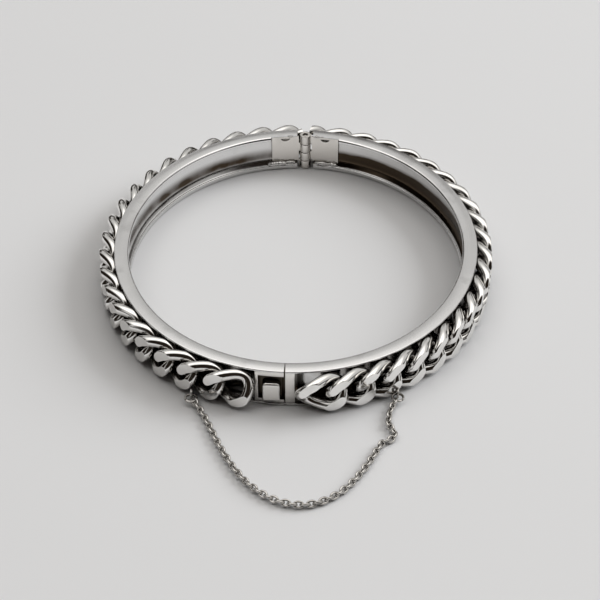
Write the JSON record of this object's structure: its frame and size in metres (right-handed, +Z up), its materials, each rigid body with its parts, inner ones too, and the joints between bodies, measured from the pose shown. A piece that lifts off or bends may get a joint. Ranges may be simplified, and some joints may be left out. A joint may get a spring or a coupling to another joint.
{
  "type": "bangle bracelet",
  "caption": "Hinged oval bangle: channel-section half bands with a filed curb chain round the outside, a pinned hinge, a box clasp with a thumb tab, and a fine safety chain.",
  "frame": {"origin": "middle of the wrist oval, on the surface that the bracelet lies on", "axes": "+Z up, out of the surface; +Y from the clasp towards the hinge; +X to the right seen from the clasp side"},
  "size_m": [0.06, 0.0838, 0.0064],
  "materials": {
    "band_metal": "bright silver-tone plate, satin on the wide rims and inside",
    "link_metal": "mirror polished silver-tone plate, filed and polished flats",
    "clasp_metal": "polished silver-tone plate with fine handling scratches",
    "spring_metal": "plain drawn spring strip",
    "hinge_metal": "silver-tone plate, duller in the recesses",
    "fine_chain_metal": "polished silver-tone plate"
  },
  "bodies": {
    "left_half": {"left_band": "band_metal", "left_hinge_leaf": "hinge_metal", "hinge_pin": "hinge_metal", "clasp_box": "clasp_metal", "left_chain_eyelet": "fine_chain_metal", "left_jump_ring": "fine_chain_metal", "safety_chain": "fine_chain_metal", "left_link_01": "link_metal", "left_link_02": "link_metal", "left_link_03": "link_metal", "left_link_04": "link_metal", "left_link_05": "link_metal", "left_link_06": "link_metal", "left_link_07": "link_metal", "left_link_08": "link_metal", "left_link_09": "link_metal", "left_link_10": "link_metal", "left_link_11": "link_metal", "left_link_12": "link_metal", "left_link_13": "link_metal", "left_link_14": "link_metal", "left_link_15": "link_metal", "left_link_16": "link_metal", "left_link_17": "link_metal", "left_link_18": "link_metal", "left_link_19": "link_metal", "left_link_20": "link_metal", "left_hinge_link": "link_metal"},
    "right_half": {"right_band": "band_metal", "right_hinge_leaf": "hinge_metal", "clasp_root": "clasp_metal", "tongue": "spring_metal", "right_chain_eyelet": "fine_chain_metal", "right_jump_ring": "fine_chain_metal", "right_link_01": "link_metal", "right_link_02": "link_metal", "right_link_03": "link_metal", "right_link_04": "link_metal", "right_link_05": "link_metal", "right_link_06": "link_metal", "right_link_07": "link_metal", "right_link_08": "link_metal", "right_link_09": "link_metal", "right_link_10": "link_metal", "right_link_11": "link_metal", "right_link_12": "link_metal", "right_link_13": "link_metal", "right_link_14": "link_metal", "right_link_15": "link_metal", "right_link_16": "link_metal", "right_link_17": "link_metal", "right_link_18": "link_metal", "right_link_19": "link_metal", "right_link_20": "link_metal", "right_link_21": "link_metal", "right_hinge_link": "link_metal"},
    "catch": {"catch_spring": "spring_metal", "thumb_tab": "clasp_metal"}
  },
  "joints": [
    {"name": "hinge_open", "type": "hinge", "parent": "left_half", "child": "right_half", "pos_m": [0, 0.02885, 0.0032], "axis": [0, 0, 1], "range_deg": [0, 32], "deforming": ["safety_chain"]},
    {"name": "catch_press", "type": "hinge", "parent": "right_half", "child": "catch", "pos_m": [-0.00385, -0.02891, 0.0031], "axis": [0, 0, 1], "range_deg": [0, 7], "stiffness_Nm_per_rad": 0.02}
  ]
}
